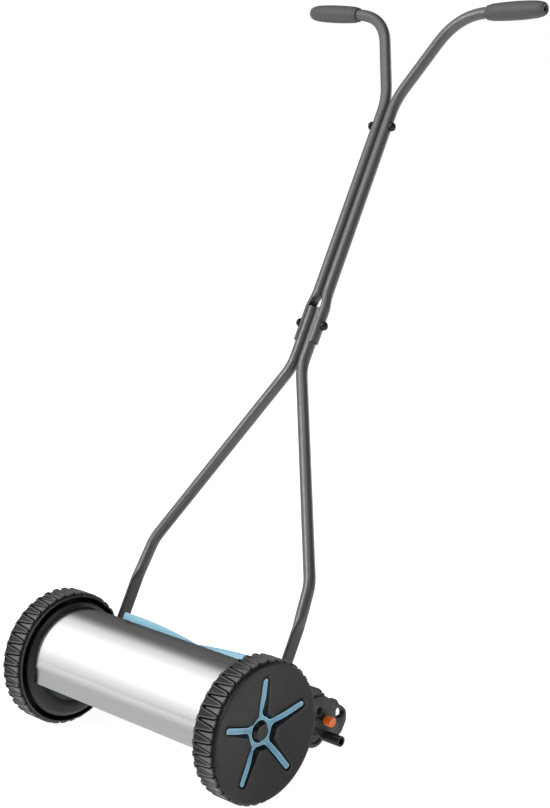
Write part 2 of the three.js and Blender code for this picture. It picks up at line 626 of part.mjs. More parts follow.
function upperTube() {
  const line = bentLine([{ x: LAP_X, s: 500 }, { x: LAP_X, s: 562 }, { x: LAP_X - 1, s: 568 },
    { x: MIDDLE_X + 1.2, s: 580 }, { x: MIDDLE_X, s: 590 }, { x: MIDDLE_X, s: 955, reach: 26 },
    { x: BEND[0], s: BEND[1], reach: 60 }, { x: TUBE_END[0], s: TUBE_END[1] }]);
  const tube = bentTube(line, easedBetween(562, 588), cupped);
  return cut(tube, bore(BOLT_R, 0, 40, 0, JOINT_S, 12), bore(BOLT_R, 0, 40, 0, CLAMP_S, 12));
}

const GRIP_SIDES = 12;

function grip() {
  const length = GRIP_OUT - GRIP_IN;
  const rise = Math.atan2(TUBE_END[1] - BEND[1], TUBE_END[0] - BEND[0]);
  const start = BEND[1] + (GRIP_IN - BEND[0]) * Math.tan(rise);
  const hole = (TUBE_R + GAP) / Math.cos(Math.PI / GRIP_SIDES);
  const profile = [[hole, 0], [12.9, 0], [13.3, 6], [14.6, 10], [15.7, 34], [16.1, 58], [15.4, 82], [14.5, 98],
    [12.6, 107], [10.8, 112], [9.2, length], [5, length], [5, length - 6], [hole, length - 6], [hole, 0]];
  return turned(profile, 0, 0, GRIP_SIDES).rotate([0, -rise / DEG, 0]).translate([GRIP_IN, 0, start]);
}

// Dome bolts run through both tubes; each nut closes the far side.
function domeBolt(s, seat) {
  const head = [[0, -seat - 8], [4, -seat - 7.2], [6.4, -seat - 4.6], [7, -seat - 2], [7, -seat],
    [BOLT_R, -seat], [BOLT_R, seat + 1.5], [0, seat + 1.5]];
  return turned(head, 0, s, 10);
}

function domeNut(s, seat) {
  const start = seat + GAP;
  const shell = [[0, start + 2.2], [BOLT_R + GAP, start + 2.2], [BOLT_R + GAP, start], [7, start], [7, start + 2],
    [6.4, start + 4.6], [4, start + 7.2], [0, start + 8]];
  return turned(shell, 0, s, 10);
}

function addHandle() {
  addPair(handle, 'handle_lower_tube', lowerTube(), 'tube');
  addPair(handle, 'handle_upper_tube', upperTube(), 'tube');
  addPair(handle, 'handle_grip', grip(), 'grip');
  const lapSeat = LAP_X + TUBE_R + GAP;
  const clampSeat = MIDDLE_X + TUBE_R + GAP;
  addPiece(handle, 'lap_bolt', domeBolt(JOINT_S, lapSeat), 'black');
  addPiece(handle, 'lap_nut', domeNut(JOINT_S, lapSeat), 'black');
  addPiece(handle, 'clamp_bolt', domeBolt(CLAMP_S, clampSeat), 'black');
  addPiece(handle, 'clamp_nut', domeNut(CLAMP_S, clampSeat), 'black');
  mower.add(handle);
}

addWheels();
addReel();
addFrame();
addBedKnife();
addRearGear();
addHandle();

// The origin is the middle of the footprint at ground level.
mower.updateMatrixWorld(true);
const extent = new THREE.Box3().setFromObject(mower, true);
mower.position.set(0, -(extent.min.y + extent.max.y) / 2, -extent.min.z);

export default mower;
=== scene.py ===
"""Looks of a hand-pushed reel mower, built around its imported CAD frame.

Lengths are millimetres in mower coordinates: X runs along the wheel axle, Y is measured behind
it and Z up from the ground. place() turns them into metres in the row frame. Paired pieces are
drawn on the right-hand side (+X) and mirrored to the left.
"""

import json
import math

import bmesh
import bpy
import numpy as np
from mathutils import Matrix, Vector

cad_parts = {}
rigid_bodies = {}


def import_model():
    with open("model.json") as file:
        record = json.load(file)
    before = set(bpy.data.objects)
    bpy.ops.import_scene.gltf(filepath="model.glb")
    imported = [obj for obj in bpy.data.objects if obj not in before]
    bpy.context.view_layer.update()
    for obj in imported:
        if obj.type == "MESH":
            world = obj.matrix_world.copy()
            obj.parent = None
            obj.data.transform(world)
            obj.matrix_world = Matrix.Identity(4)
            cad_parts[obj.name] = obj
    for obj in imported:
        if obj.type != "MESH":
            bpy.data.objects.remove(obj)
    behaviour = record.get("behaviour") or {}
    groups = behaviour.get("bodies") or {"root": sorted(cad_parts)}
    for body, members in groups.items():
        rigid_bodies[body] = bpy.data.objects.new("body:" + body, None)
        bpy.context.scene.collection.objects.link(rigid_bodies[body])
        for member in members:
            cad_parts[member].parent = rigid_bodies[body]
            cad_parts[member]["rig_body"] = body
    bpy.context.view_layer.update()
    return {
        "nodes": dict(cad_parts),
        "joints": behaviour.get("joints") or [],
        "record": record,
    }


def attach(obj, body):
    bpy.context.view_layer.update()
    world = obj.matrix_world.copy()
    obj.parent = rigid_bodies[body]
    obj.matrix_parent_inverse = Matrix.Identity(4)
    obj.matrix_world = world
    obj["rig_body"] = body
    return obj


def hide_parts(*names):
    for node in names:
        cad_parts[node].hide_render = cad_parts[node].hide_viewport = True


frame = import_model()
JOINTS = {joint["name"]: joint for joint in frame["joints"]}

# ---- driving dimensions, millimetres -------------------------------------------------------------
MM = 0.001
MERGE_DISTANCE = 0.00002          # metres
SHARP_EDGE = 32                   # degrees between faces, from which an edge stays sharp
AXLE_Y = JOINTS["wheel_right_spin"]["pos_m"][1] / MM
AXLE_Z = JOINTS["wheel_right_spin"]["pos_m"][2] / MM
REEL_Y = JOINTS["reel_spin"]["pos_m"][1] / MM - AXLE_Y
ROLLER_Y = JOINTS["roller_spin"]["pos_m"][1] / MM - AXLE_Y
ROLLER_Z = JOINTS["roller_spin"]["pos_m"][2] / MM

TREAD_R = 114.0
TREAD_PERIODS = 38
GROOVE_R = 107.8                  # radius at the bottom of the winding groove
TREAD_STEPS = 32                  # samples along one period of the tread
TREAD_SWING = 16.4                # the winding groove's reach to either side of its middle
TREAD_SHIFT = 1.2                 # how far the groove's middle lies towards +X
WIDE_TURN_R = 4.3
SHARP_TURN_R = 1.3
TREAD_BAND = 3.2                  # width of the rib round a sunk tongue
TREAD_DROP = 3.6                  # how much deeper a sunk tongue is at its foot
WHEEL_IN = 204.9
WHEEL_OUT = 252.8
TYRE_OUT = 248.4
TYRE_BORE_R = 106.9

DISC_R = 108.9
DISC_DISH = 11.6
DISC_BACK = [(20, 232.4), (30, 234.3), (53, 240.7), (87, 246.4), (108.9, 249.8)]   # (radius, X)
HUB_POCKET_R = 17.0
HUB_POCKET_FLOOR = 230.0

STAR_ARMS = 5
STAR_FIRST = 89.0                 # direction of an arm, degrees from +Y towards +Z
STAR_ARM_HALF = 4.5
STAR_TIP_R = 87.0
STAR_RING_R = 23.5
STAR_FILLET = 10.0
STAR_HOLE_R = 17.6
STAR_DEPTH = 1.6
STAR_FACE = [(0, 238.2), (17.6, 238.2), (30, 238.5), (53, 244.7), (92, 250.8)]      # (radius, X)

REEL_R = 80.0
REEL_HALF = 172.5
BLADES = 7
BLADE_THICK = 2.4
BLADE_DEPTH = 19.0
BLADE_PEAK_X = -150.0
BLADE_PEAK_ANGLE = 61.4
BLADE_TWIST = 51.43 / 326         # degrees per millimetre

COVER_R = 92.0
COVER_SHEET = 1.2
COVER_HALF = 194.8
COVER_CENTRE_Z = 115.0
COVER_BACK_ANGLE = 72.0
COVER_CREASE_Z = 128.0
COVER_LIP = (-91.0, 100.0)

HANDLE_FOOT = (119.5, 200.0)
HANDLE_TILT = math.radians(28.37)
TUBE_R = 10.0
TUBE_WALL = 1.4
FLAT_THIN = 3.2
FLAT_WIDE = 13.0
PIVOT_S = -70.0
JOINT_S = 532.0
CLAMP_S = 904.0
BAR_X = 190.0
MIDDLE_X = TUBE_R + 0.45
LAP_SHIFT = 4.6                   # a cupped tube end stands this far outside the tube it wraps
CUP_R = TUBE_R + 0.35
LAP_X = MIDDLE_X + LAP_SHIFT
BEND = (84.0, 1119.6)             # corner and end of the cross bar that the grip is on, as (X, s)
TUBE_END = (252.0, 1127.6)
GRIP_IN = 145.7
BUTTON = (200.0, 58.5)

# Camera: direction and distance from the point it looks at.
CAMERA_TURN = 43.645
CAMERA_RISE = 11.975
CAMERA_ROLL = 0.106
CAMERA_LENS = 73.68
CAMERA_AIM = (101.97, 174.35, 574.70)
CAMERA_DISTANCE = 2626.57
PANEL_DIRECTION = (-0.682, -0.394, 0.616)   # towards the studio's brightest panel


def place(points):
    """Mower coordinates in millimetres to the row frame in metres."""
    return (np.asarray(points, float) + (0, AXLE_Y, 0)) * MM


# ---- shapes: (points, faces) in mower coordinates ------------------------------------------------
def grid_faces(rows, columns, wrap_rows=False, wrap_columns=False):
    """Quads between neighbouring points of a grid that is stored row by row."""
    faces = []
    for i in range(rows if wrap_rows else rows - 1):
        below = i * columns
        above = (i + 1) % rows * columns
        for j in range(columns if wrap_columns else columns - 1):
            k = (j + 1) % columns
            faces.append((below + j, below + k, above + k, above + j))
    return faces


def closed_loops(loops, wrap=False):
    """A skin through rings of points that all have the same count; `wrap` joins last to first."""
    points = np.concatenate([np.asarray(loop, float) for loop in loops])
    return points, grid_faces(len(loops), len(loops[0]), wrap_rows=wrap, wrap_columns=True)


def mirrored(shape):
    points, faces = shape
    return points * (-1, 1, 1), [tuple(reversed(face)) for face in faces]


def revolved(profile, y, z, segments=96):
    """A solid of revolution about the X line through (y, z). Profile points are (radius, x)."""
    turns = np.linspace(0, 2 * math.pi, segments, endpoint=False)
    loops = []
    for radius, x in profile:
        ring = (np.full(segments, x), y + radius * np.cos(turns), z + radius * np.sin(turns))
        loops.append(np.stack(ring, 1))
    return closed_loops(loops, wrap=True)


def eased(value, none, full):
    t = min(max((value - none) / (full - none), 0.0), 1.0)
    return t * t * (3 - 2 * t)


def along_profile(profile, radius):
    return np.interp(radius, [r for r, _ in profile], [x for _, x in profile])


def arc(centre, radius, start, end, steps):
    turns = np.radians(np.linspace(start, end, steps))
    return [(centre[0] + radius * math.cos(t), centre[1] + radius * math.sin(t)) for t in turns]


# ---- pieces: a shape with a finish that rides on a body ------------------------------------------
def finish_mesh(bm, bevel=0.0):
    """Merges doubled points, turns the faces outwards and rounds the sharp edges."""
    bmesh.ops.remove_doubles(bm, verts=bm.verts[:], dist=MERGE_DISTANCE)
    bmesh.ops.dissolve_degenerate(bm, edges=bm.edges[:], dist=MERGE_DISTANCE / 2)
    bmesh.ops.recalc_face_normals(bm, faces=bm.faces[:])
    if bevel:
        limit = math.radians(SHARP_EDGE)
        sharp = [e for e in bm.edges if e.is_manifold and e.calc_face_angle(0) > limit]
        bmesh.ops.bevel(bm, geom=sharp, offset=bevel * MM, segments=2, profile=0.5,
                        affect="EDGES", clamp_overlap=True)


def show(name, mesh, crease, look, slot, body, replaces):
    mesh.polygons.foreach_set("use_smooth", [True] * len(mesh.polygons))
    mesh.set_sharp_from_angle(angle=math.radians(crease))
    piece = bpy.data.objects.new(name, mesh)
    bpy.context.scene.collection.objects.link(piece)
    mesh.materials.append(look or LOOKS[slot])
    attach(piece, body)
    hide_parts(replaces)


def add_piece(name, shape, slot, body, replaces, look=None, crease=SHARP_EDGE, thicken=0.0, paint=None):
    """Makes a piece from a shape of points and faces.

    `thicken` grows an open sheet by that far along X. `paint` is a number for each point:
    painted light and shade that the material reads from a point attribute.
    """
    points, faces = shape
    mesh = bpy.data.meshes.new(name)
    mesh.from_pydata(place(points).tolist(), [], faces)
    if paint is not None:
        painted_shading = mesh.attributes.new("painted_shading", "FLOAT", "POINT")
        painted_shading.data.foreach_set("value", np.asarray(paint, np.float32))
    bm = bmesh.new()
    bm.from_mesh(mesh)
    if thicken:
        bmesh.ops.remove_doubles(bm, verts=bm.verts[:], dist=MERGE_DISTANCE)
        lifted = bmesh.ops.extrude_face_region(bm, geom=bm.faces[:])["geom"]
        corners = [item for item in lifted if isinstance(item, bmesh.types.BMVert)]
        bmesh.ops.translate(bm, vec=(thicken * MM, 0, 0), verts=corners)
    finish_mesh(bm)
    bm.to_mesh(mesh)
    bm.free()
    show(name, mesh, crease, look, slot, body, replaces)


def add_pair(name, shape, slot, body, node, **options):
    """Adds the right-hand piece and its mirror image; {} in body and node stands for the side."""
    thicken = options.pop("thicken", 0.0)
    add_piece(f"{name}_right", shape, slot, body.format("right"), node.format("right"),
              thicken=thicken, **options)
    add_piece(f"{name}_left", mirrored(shape), slot, body.format("left"), node.format("left"),
              thicken=-thicken, **options)


def soften(name, slot, bevel):
    """Replaces a CAD node by a copy whose flat areas are whole and whose sharp edges are rounded."""
    node = frame["nodes"][name]
    mesh = bpy.data.meshes.new(f"{name}_softened")
    bm = bmesh.new()
    bm.from_mesh(node.data)
    bmesh.ops.remove_doubles(bm, verts=bm.verts[:], dist=MERGE_DISTANCE)
    bmesh.ops.dissolve_limit(bm, angle_limit=math.radians(1), verts=bm.verts[:], edges=bm.edges[:])
    finish_mesh(bm, bevel)
    bm.to_mesh(mesh)
    bm.free()
    show(f"{name}_softened", mesh, SHARP_EDGE, None, slot, node["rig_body"], name)


# ---- materials -----------------------------------------------------------------------------------
def new_look(name, colour, roughness, metallic=0.0, **sockets):
    """A material with a Principled shader; `sockets` sets its other inputs by name."""
    material = bpy.data.materials.new(name)
    material.use_nodes = True
    shader = material.node_tree.nodes["Principled BSDF"]
    shader.inputs["Base Color"].default_value = (*colour, 1)
    shader.inputs["Roughness"].default_value = roughness
    shader.inputs["Metallic"].default_value = metallic
    for socket, value in sockets.items():
        shader.inputs[socket.replace("_", " ")].default_value = value
    return material


def noise(material, scale, detail=3.0, stretch=(1, 1, 1)):
    """Noise in object space with `scale` features to the metre."""
    nodes = material.node_tree.nodes
    links = material.node_tree.links
    place_in = nodes.new("ShaderNodeTexCoord")
    mapping = nodes.new("ShaderNodeMapping")
    mapping.inputs["Scale"].default_value = stretch
    texture = nodes.new("ShaderNodeTexNoise")
    texture.inputs["Scale"].default_value = scale
    texture.inputs["Detail"].default_value = detail
    links.new(place_in.outputs["Object"], mapping.inputs["Vector"])
    links.new(mapping.outputs["Vector"], texture.inputs["Vector"])
    return texture.outputs["Fac"]


def painted_shading_of(material):
    """The painted light and shade that a piece's points carry as a number in a point attribute."""
    reader = material.node_tree.nodes.new("ShaderNodeAttribute")
    reader.attribute_name = "painted_shading"
    return reader.outputs["Fac"]


def remapped(material, value, low, high, new_low, new_high):
    node = material.node_tree.nodes.new("ShaderNodeMapRange")
    node.inputs["From Min"].default_value = low
    node.inputs["From Max"].default_value = high
    node.inputs["To Min"].default_value = new_low
    node.inputs["To Max"].default_value = new_high
    material.node_tree.links.new(value, node.inputs["Value"])
    return node.outputs["Result"]


def mixed(material, factor, dark, light):
    """A colour between two; each is a colour or another node's output."""
    node = material.node_tree.nodes.new("ShaderNodeMix")
    node.data_type = "RGBA"
    for socket, value in ((node.inputs[6], dark), (node.inputs[7], light)):
        if isinstance(value, bpy.types.NodeSocket):
            material.node_tree.links.new(value, socket)
        else:
            socket.default_value = (*value, 1)
    material.node_tree.links.new(factor, node.inputs[0])
    return node.outputs[2]


def drive(material, socket, value):
    shader = material.node_tree.nodes["Principled BSDF"]
    material.node_tree.links.new(value, shader.inputs[socket])


def add_bump(material, height, strength, distance, under=None):
    """Bump from a height; `under` is an earlier bump that this one lies on."""
    node = material.node_tree.nodes.new("ShaderNodeBump")
    node.inputs["Strength"].default_value = strength
    node.inputs["Distance"].default_value = distance
    material.node_tree.links.new(height, node.inputs["Height"])
    if under:
        material.node_tree.links.new(under, node.inputs["Normal"])
    drive(material, "Normal", node.outputs["Normal"])
    return node.outputs["Normal"]


def scaled(colour, factor):
    return tuple(part * factor for part in colour)


def moulded(name, colour, roughness, grain=1400.0, strength=0.25, variation=0.12, **sockets):
    """Moulded plastic: fine spark-eroded grain, with slow changes of tone and gloss."""
    material = new_look(name, colour, roughness, **sockets)
    slow = noise(material, 22.0, 4.0)
    drive(material, "Base Color", mixed(material, slow, scaled(colour, 1 - variation),
                                        scaled(colour, 1 + variation)))
    drive(material, "Roughness", remapped(material, noise(material, 60.0), 0.3, 0.7,
                                          roughness - 0.06, roughness + 0.06))
    add_bump(material, noise(material, grain, 2.0), strength, 0.0002)
    return material


def tyre_look():
    """Hard black plastic with painted shade in the grooves and a painted highlight on the ribs."""
    material = moulded("tyre_plastic", (0.035, 0.035, 0.037), 0.46, 1100.0, 0.22,
                       Specular_IOR_Level=0.3)
    # Painted highlight: the ribs take a lighter grey that varies at random. Painted shade: the groove goes
    # near black.
    rib_painted_highlight = mixed(material, noise(material, 160.0), (0.085, 0.085, 0.087), (0.165, 0.165, 0.168))
    drive(material, "Base Color", mixed(material, painted_shading_of(material), (0.002, 0.002, 0.0025), rib_painted_highlight))
    return material


def disc_look():
    """Satin charcoal moulding, with painted shade inside the recess that holds the star, in the hub pocket
    and on its back.
    """
    colour = (0.0115, 0.0115, 0.012)
    material = moulded("disc_plastic", colour, 0.40, 1500.0, 0.16, Specular_IOR_Level=0.25)
    slow = mixed(material, noise(material, 14.0, 3.0), scaled(colour, 0.9), scaled(colour, 1.12))
    # Painted shade: marked points darken towards near black.
    recess = mixed(material, painted_shading_of(material), slow, (0.003, 0.006, 0.010))
    drive(material, "Base Color", recess)
    return material


def star_look():
    """Sky blue plastic insert, with a painted highlight in paler blue along its moulded rim."""
    material = moulded("star_blue", (0.15, 0.37, 0.54), 0.38, 1500.0, 0.14, 0.05)
    centre = mixed(material, noise(material, 300.0, 2.0), (0.125, 0.345, 0.52), (0.17, 0.41, 0.59))
    # Painted highlight: paler blue along the star's edge.
    drive(material, "Base Color", mixed(material, painted_shading_of(material), centre, (0.38, 0.68, 0.84)))
    return material


def cover_look():
    """Polished sheet metal with a faint rolling grain along the sheet."""
    material = new_look("polished_sheet", (0.86, 0.865, 0.875), 0.16, 1.0)
    lines = noise(material, 700.0, 3.0, (0.03, 1, 1))
    drive(material, "Roughness", remapped(material, lines, 0.3, 0.7, 0.13, 0.2))
    smudge = noise(material, 9.0, 5.0)
    drive(material, "Base Color", mixed(material, smudge, (0.83, 0.835, 0.845), (0.89, 0.89, 0.9)))
    add_bump(material, lines, 0.04, 0.0001)
    return material


def blade_look():
    """Light blue coated steel with a slight orange peel."""
    material = new_look("blade_coat", (0.27, 0.51, 0.65), 0.35)
    drive(material, "Base Color", mixed(material, noise(material, 35.0, 4.0), (0.25, 0.49, 0.63),
                                        (0.30, 0.545, 0.68)))
    add_bump(material, noise(material, 500.0, 2.0), 0.12, 0.0002)
    return material


def powder_coat(name, dark, light, roughness, metallic):
    """Fine metallic powder coat: sparkling grain over an orange-peel surface."""
    material = new_look(name, light, roughness, metallic)
    sparkle = noise(material, 2600.0, 1.0)
    drive(material, "Base Color", mixed(material, sparkle, dark, light))
    drive(material, "Roughness", remapped(material, noise(material, 90.0), 0.3, 0.7,
                                          roughness - 0.04, roughness + 0.05))
    peel = add_bump(material, noise(material, 420.0, 2.0), 0.10, 0.0003)
    add_bump(material, sparkle, 0.10, 0.0001, under=peel)
    return material


def tube_look():
    """The handle tubes' powder coat, with painted shade where a tube is pressed and inside it."""
    material = powder_coat("tube_paint", (0.085, 0.086, 0.089), (0.135, 0.136, 0.140), 0.40, 0.6)
    coat = material.node_tree.nodes["Principled BSDF"].inputs["Base Color"].links[0].from_socket
    # Painted shade: pressed parts and the tube's inside darken towards near black.
    drive(material, "Base Color", mixed(material, painted_shading_of(material), coat, (0.008, 0.008, 0.009)))
    return material


def grip_look():
    """Soft dark rubber, finely pebbled."""
    material = moulded("grip_rubber", (0.056, 0.056, 0.058), 0.55, 900.0, 0.35)
    pebble = material.node_tree.nodes.new("ShaderNodeTexVoronoi")
    pebble.inputs["Scale"].default_value = 420.0
    place_in = material.node_tree.nodes.new("ShaderNodeTexCoord")
    material.node_tree.links.new(place_in.outputs["Object"], pebble.inputs["Vector"])
    add_bump(material, pebble.outputs["Distance"], 0.5, 0.0006)
    return material


def steel_look():
    """Turned bare steel, slightly stained."""
    material = new_look("bare_steel", (0.42, 0.42, 0.43), 0.32, 1.0)
    stain = noise(material, 70.0, 5.0)
    drive(material, "Base Color", mixed(material, stain, (0.30, 0.295, 0.29), (0.52, 0.52, 0.53)))
    drive(material, "Roughness", remapped(material, stain, 0.3, 0.7, 0.24, 0.42))
    add_bump(material, noise(material, 900.0, 2.0, (0.2, 1, 1)), 0.15, 0.0001)
    return material


def gloss_black():
    """Gloss black moulding for the bolt domes and hub caps."""
    material = moulded("gloss_black", (0.006, 0.006, 0.007), 0.16, 1600.0, 0.05, Specular_IOR_Level=0.3)
    return material


LOOKS = {
    "cover_metal": cover_look(),
    "charcoal_plastic": moulded("charcoal_plastic", (0.012, 0.012, 0.0125), 0.42,
                                Specular_IOR_Level=0.35),
    "tyre_plastic": tyre_look(),
    "black_plastic": moulded("black_plastic", (0.010, 0.010, 0.0105), 0.45),
    "blue_plastic": star_look(),
    "orange_plastic": moulded("orange_plastic", (0.86, 0.165, 0.012), 0.35, 1500.0, 0.12, 0.05),
    "blade_paint": blade_look(),
    "bare_steel": steel_look(),
    "black_paint": powder_coat("black_paint", (0.010, 0.010, 0.011), (0.022, 0.022, 0.023), 0.5, 0.0),
    "tube_paint": tube_look(),
    "grip_rubber": grip_look(),
    "bolt_black": gloss_black(),
}
DISC_LOOK = disc_look()


# ---- wheels --------------------------------------------------------------------------------------
def groove_path(period):
    """Middle line of the groove over one period: a wide turn, a flank, a sharp turn, a flank."""
    wide = TREAD_SWING - WIDE_TURN_R
    sharp = SHARP_TURN_R - TREAD_SWING
    path = arc((0, wide), WIDE_TURN_R, 180, 0, 12)
    path += arc((period / 2, sharp), SHARP_TURN_R, 180, 360, 8)
    path.append((period - WIDE_TURN_R, wide))
    dense = []
    for a, b in zip(path, path[1:]):
        steps = max(2, math.ceil(math.dist(a, b) / 0.25))
        dense.append(np.linspace(a, b, steps, endpoint=False))
    return np.concatenate(dense)


def tread_height(around, across):
    """Radius of the tread, and how much painted light it carries (a painted highlight on the ribs, painted
    shade in the groove), at millimetres along and across it.

    The winding groove cuts tongues from both sides. Those that reach towards +X are sunk along
    their middle, deepest at the foot, which notches that edge of the tread.
    """
    period = 2 * math.pi * TREAD_R / TREAD_PERIODS
    path = groove_path(period)
    path = np.concatenate([path + (turn * period, 0) for turn in (-1, 0, 1)])
    spots = np.stack([around.ravel(), across.ravel()], 1)
    away = np.sqrt(((spots[:, None, :] - path[None, :, :]) ** 2).sum(2)).min(1).reshape(around.shape)
    centred = np.abs((around + period / 2) % period - period / 2)
    wide = TREAD_SWING - WIDE_TURN_R
    sharp = SHARP_TURN_R - TREAD_SWING
    tip = np.sqrt(WIDE_TURN_R ** 2 - np.clip(across - wide, 0, WIDE_TURN_R) ** 2)
    foot = period / 2 - SHARP_TURN_R
    flank = np.interp(across, [sharp, wide], [foot, WIDE_TURN_R])
    half = np.where(across > wide, tip, flank)
    sunk_tongue = centred < half
    from_edge = np.where(across < sharp, foot - centred, np.where(sunk_tongue, away, 0))
    along = np.clip((TREAD_SWING - across) / (2 * TREAD_SWING), 0, 1.1)
    sunk = np.clip((from_edge - TREAD_BAND) / 0.9, 0, 1)
    pad = TREAD_R - 0.4 - sunk * (0.8 + TREAD_DROP * along)
    wall = np.interp(away, [0.75, 1.4], [0, 1])
    wall = np.where(across > TREAD_SWING, 0.2, wall)
    # Painted light: a painted highlight on the ribs, none in the groove (painted shade), less on sunk
    # tongues, and half as much where across is negative.
    tread_painted_light = np.interp(away, [1.0, 1.5], [0, 1]) * (1 - 0.85 * sunk) * (1 - 0.5 * along)
    tread_painted_light = np.where(across > TREAD_SWING, 0.0, tread_painted_light)
    return GROOVE_R + (pad - GROOVE_R) * wall, tread_painted_light


def tyre_shape(facing):
    """The tyre as a grid: rows run round its section, columns round the wheel.

    `facing` is 1 where the tread's +X edge is the wheel's outer edge, and -1 for the wheel that
    is mirrored, so that both treads point the same way.
    """
    period = 2 * math.pi * TREAD_R / TREAD_PERIODS
    middle = (WHEEL_IN + 3.2 + TYRE_OUT) / 2
    tread_x = np.linspace(WHEEL_IN + 3.1, TYRE_OUT - 0.6, 58)
    steps = np.arange(TREAD_STEPS) / TREAD_STEPS * period
    around, across = np.meshgrid(steps, facing * (tread_x - middle) - TREAD_SHIFT)
    tread, tread_painted_light = (np.tile(part, (1, TREAD_PERIODS)) for part in tread_height(around, across))
    count = tread.shape[1]
    turns = np.linspace(0, 2 * math.pi, count, endpoint=False)
    rows = [(TYRE_OUT, np.full(count, TYRE_BORE_R)), (WHEEL_IN, np.full(count, TYRE_BORE_R)),
            (WHEEL_IN, np.full(count, 108.7)), (WHEEL_IN + 0.4, np.full(count, 109.2)),
            (WHEEL_IN + 2.0, np.full(count, 109.3)), (WHEEL_IN + 2.8, tread[0] - 0.4)]
    rows += [(x, tread[i]) for i, x in enumerate(tread_x)]
    rows += [(TYRE_OUT - 0.15, tread[-1] - 0.5), (TYRE_OUT, tread[-1] - 1.1)]
    loops = []
    for x, radius in rows:
        ring = (np.full(count, x), radius * np.cos(turns), AXLE_Z + radius * np.sin(turns))
        loops.append(np.stack(ring, 1))
    plain = np.full(count, 0.3)
    painted_shading = np.concatenate([plain] * 6 + list(tread_painted_light) + [plain] * 2)
    return closed_loops(loops, wrap=True), painted_shading


def star_outline():
    """The star's edge as (y, z) about the hub, anticlockwise, with unit normals pointing out."""
    reach = STAR_RING_R + STAR_FILLET
    spread = math.degrees(math.asin((STAR_ARM_HALF + STAR_FILLET) / reach))
    half_pitch = 180 / STAR_ARMS
    corner = (reach * math.cos(math.radians(spread)), -reach * math.sin(math.radians(spread)))
    tip = STAR_TIP_R - STAR_ARM_HALF
    side = arc((0, 0), STAR_RING_R, -half_pitch, -spread, 4)[:-1]
    side += arc(corner, STAR_FILLET, 180 - spread, 90, 9)
    side += [(u, -STAR_ARM_HALF) for u in np.linspace(corner[0], tip, 14)[1:-1]]
    side += arc((tip, 0), STAR_ARM_HALF, -90, 0, 7)
    arm = side + [(u, -v) for u, v in reversed(side[1:-1])]
    points = []
    for i in range(STAR_ARMS):
        turn = math.radians(STAR_FIRST + i * 360 / STAR_ARMS)
        c, s = math.cos(turn), math.sin(turn)
        points.extend((u * c - v * s, u * s + v * c) for u, v in arm)
    points = np.array(points)
    along = np.roll(points, -1, 0) - np.roll(points, 1, 0)
    along /= np.linalg.norm(along, axis=1)[:, None]
    return points, np.stack([along[:, 1], -along[:, 0]], 1)


def disc_front(radius):
    return WHEEL_OUT - DISC_DISH * (1 - radius / DISC_R)


def disc_shape():
    """The wheel disc: rings from the hub pocket over the star's recess to the rim and back."""
    outline, normals = star_outline()
    directions = outline / np.linalg.norm(outline, axis=1)[:, None]

    def circle(radius, x):
        return np.concatenate([np.full((len(outline), 1), x), directions * radius], 1)

    def beside(distance, level):
        """A ring that far outside the star; level 0 is the star's face and 1 the disc's."""
        flat = outline + normals * np.reshape(distance, (-1, 1))
        radius = np.linalg.norm(flat, axis=1)
        face = along_profile(STAR_FACE, radius)
        return np.concatenate([(face + level * (disc_front(radius) - face))[:, None], flat], 1)

    radius = np.linalg.norm(outline, axis=1)
    depth = disc_front(radius) - along_profile(STAR_FACE, radius)
    wall = np.minimum(2.6 + 0.5 * depth, 4.4)
    # Each loop's second number is its painted shade: 1 in the star's recess and the hub pocket, 0.9 at the
    # recess's top edge, 0.6 on the back, 0 on the front.
    loops = [(circle(STAR_HOLE_R - 0.4, along_profile(STAR_FACE, STAR_HOLE_R) - 1.9), 1.0)]
    for t in (0.1, 0.2, 0.32, 0.46, 0.6, 0.75, 0.9):
        flat = directions * (STAR_HOLE_R - 0.4) * (1 - t) + outline * t
        face = along_profile(STAR_FACE, np.linalg.norm(flat, axis=1)) - 1.9
        loops.append((np.concatenate([face[:, None], flat], 1), 1.0))
    loops.append((beside(0.35, 0) - (1.9, 0, 0), 1.0))
    loops.append((beside(0.9, 0) - (1.5, 0, 0), 1.0))
    loops.append((beside(1.5, 0.05) - (1.1, 0, 0), 1.0))
    loops.append((beside(1.5 + 0.6 * (wall - 1.5), 0.5) - (0.5, 0, 0), 1.0))
    loops.append((beside(wall, 0.93), 0.9))
    loops.append((beside(wall + 0.5, 1.0) + (0.6, 0, 0), 0.0))
    loops.append((beside(wall + 1.2, 1.0) + (0.95, 0, 0), 0.0))
    loops.append((beside(wall + 2.2, 1.0) + (0.5, 0, 0), 0.0))
    loops.append((beside(wall + 3.4, 1.0), 0.0))
    inner = loops[-1][0][:, 1:]
    outer = inner / np.linalg.norm(inner, axis=1)[:, None] * (DISC_R - 2.2)
    for t in (0.12, 0.3, 0.5, 0.7, 0.88, 1.0):
        flat = inner + (outer - inner) * t
        front = disc_front(np.linalg.norm(flat, axis=1))
        loops.append((np.concatenate([front[:, None], flat], 1), 0.0))
    directions = outer / (DISC_R - 2.2)
    for inset, drop in ((1.0, 0.35), (0.3, 0.8), (0.0, 1.5)):
        loops.append((circle(DISC_R - inset, WHEEL_OUT - drop), 0.0))
    for radius, x in reversed(DISC_BACK):
        loops.append((circle(radius, x), 0.6))
    loops.append((circle(20, 208.2), 0.6))
    loops.append((circle(9.6, 208.2), 0.6))
    loops.append((circle(9.6, HUB_POCKET_FLOOR), 1.0))
    loops.append((circle(HUB_POCKET_R, HUB_POCKET_FLOOR), 1.0))
    points, faces = closed_loops([loop for loop, _ in loops], wrap=True)
    painted_shading = np.concatenate([np.full(len(outline), value) for _, value in loops])
    return (points + (0, 0, AXLE_Z), faces), painted_shading


